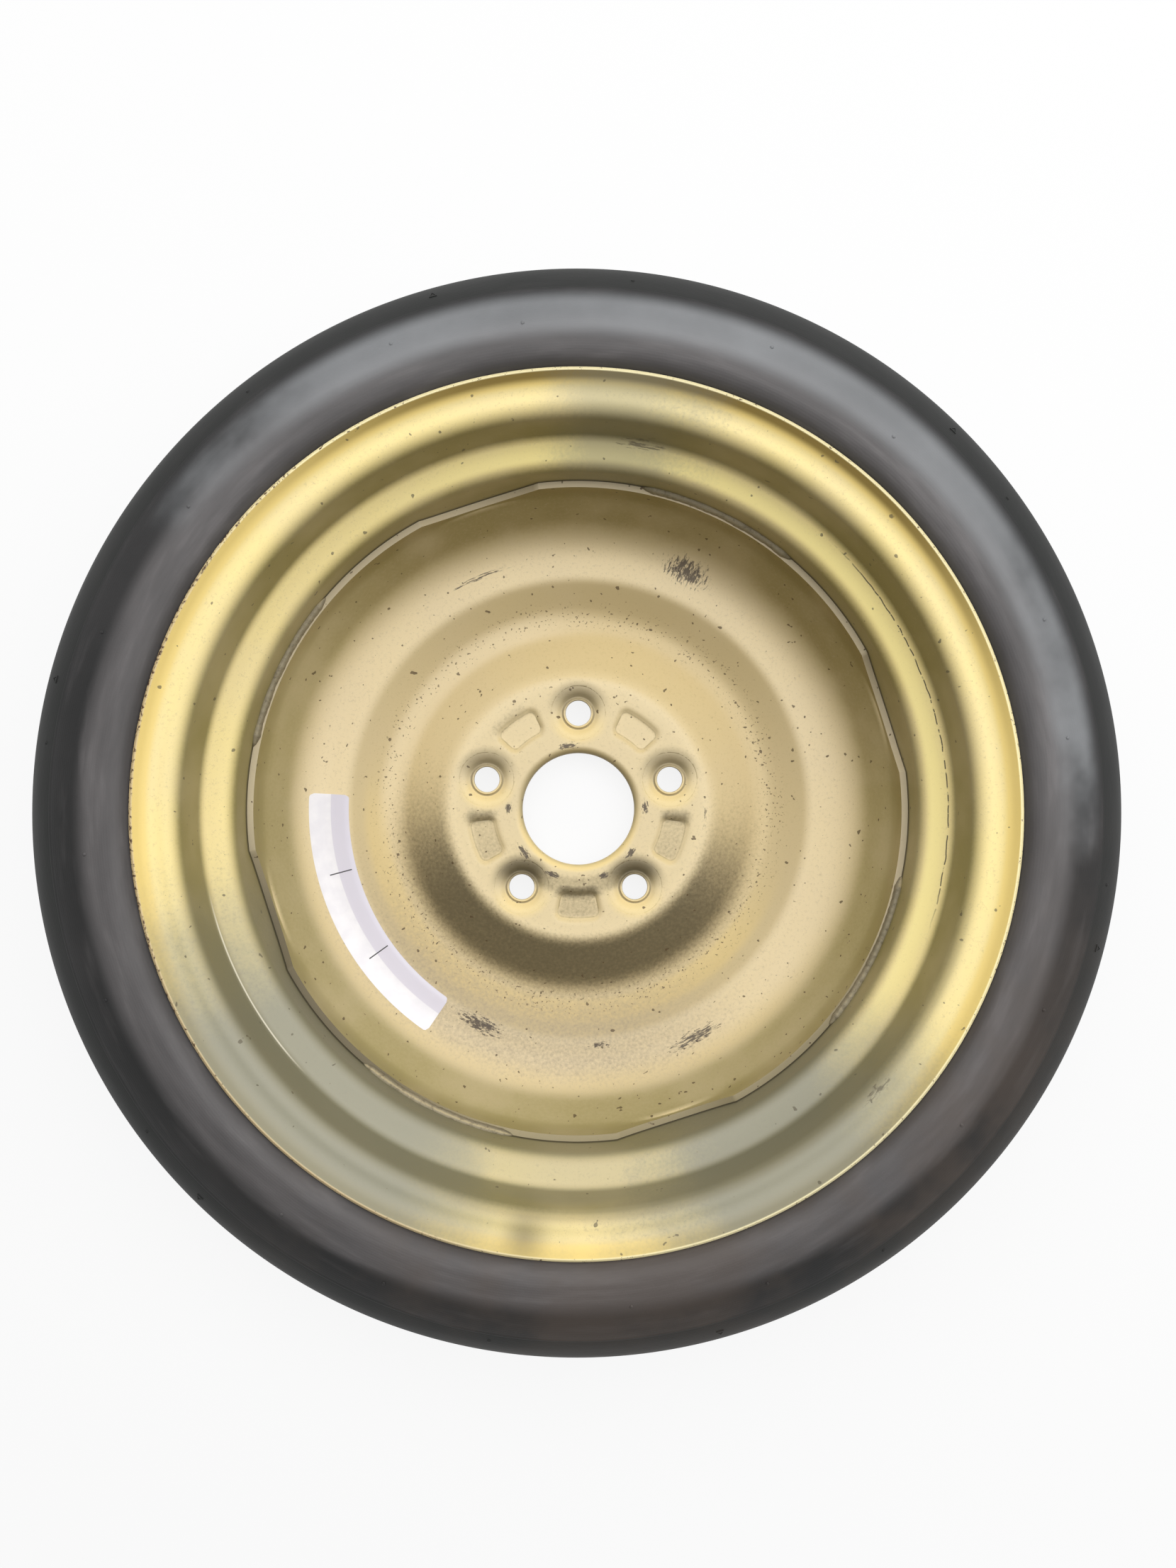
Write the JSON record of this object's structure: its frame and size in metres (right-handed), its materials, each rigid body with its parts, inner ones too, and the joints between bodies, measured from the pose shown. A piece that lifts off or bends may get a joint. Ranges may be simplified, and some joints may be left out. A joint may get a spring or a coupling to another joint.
{
  "type": "space saver spare wheel",
  "caption": "Temporary-use spare wheel: narrow tyre on a drop-centre steel rim with a welded pressed disc, centre bore, stud holes and a snap-in tyre valve.",
  "frame": {"origin": "centre of the wheel: on its axis, at the tyre's mid plane", "axes": "+Z along the wheel axis towards the inboard (hub) side; +X and +Y in the wheel's mid plane, with +Y towards the top of the picture; the wheel lies on its outboard sidewall"},
  "size_m": [0.5736, 0.5736, 0.1286],
  "materials": {
    "tyre_rubber": "matt black moulded rubber, dusty",
    "wheel_paint": "semi-gloss yellow-gold paint, speckled and scuffed",
    "sticker_film": "white printed film, left blank",
    "valve_rubber": "satin black",
    "valve_brass": "turned",
    "seal_rubber": "dull red",
    "spring_steel": "drawn wire",
    "cap_plastic": "moulded black plastic"
  },
  "bodies": {
    "wheel": {"tyre": "tyre_rubber", "rim": "wheel_paint", "wheel_disc": "wheel_paint", "disc_weld_beads": "wheel_paint", "blank_sticker": "sticker_film", "valve_body": "valve_rubber", "valve_stem": "valve_brass", "valve_core_plug": "valve_brass", "valve_core_barrel": "valve_brass", "valve_core_gasket": "seal_rubber", "valve_core_spring": "spring_steel"},
    "valve_pin": {"valve_core_pin": "valve_brass"},
    "valve_cap": {"valve_cap": "cap_plastic"}
  },
  "joints": [
    {"name": "valve_pin_press", "type": "slide", "parent": "wheel", "child": "valve_pin", "axis": [0.2035, -0.6339, 0.7461], "range_m": [0, 0.0012], "stiffness_N_per_m": 400, "deforming": ["valve_core_spring"]},
    {"name": "valve_cap_lift", "type": "slide", "parent": "wheel", "child": "valve_cap", "axis": [-0.2035, 0.6339, -0.7461], "range_m": [0, 0.012]}
  ]
}
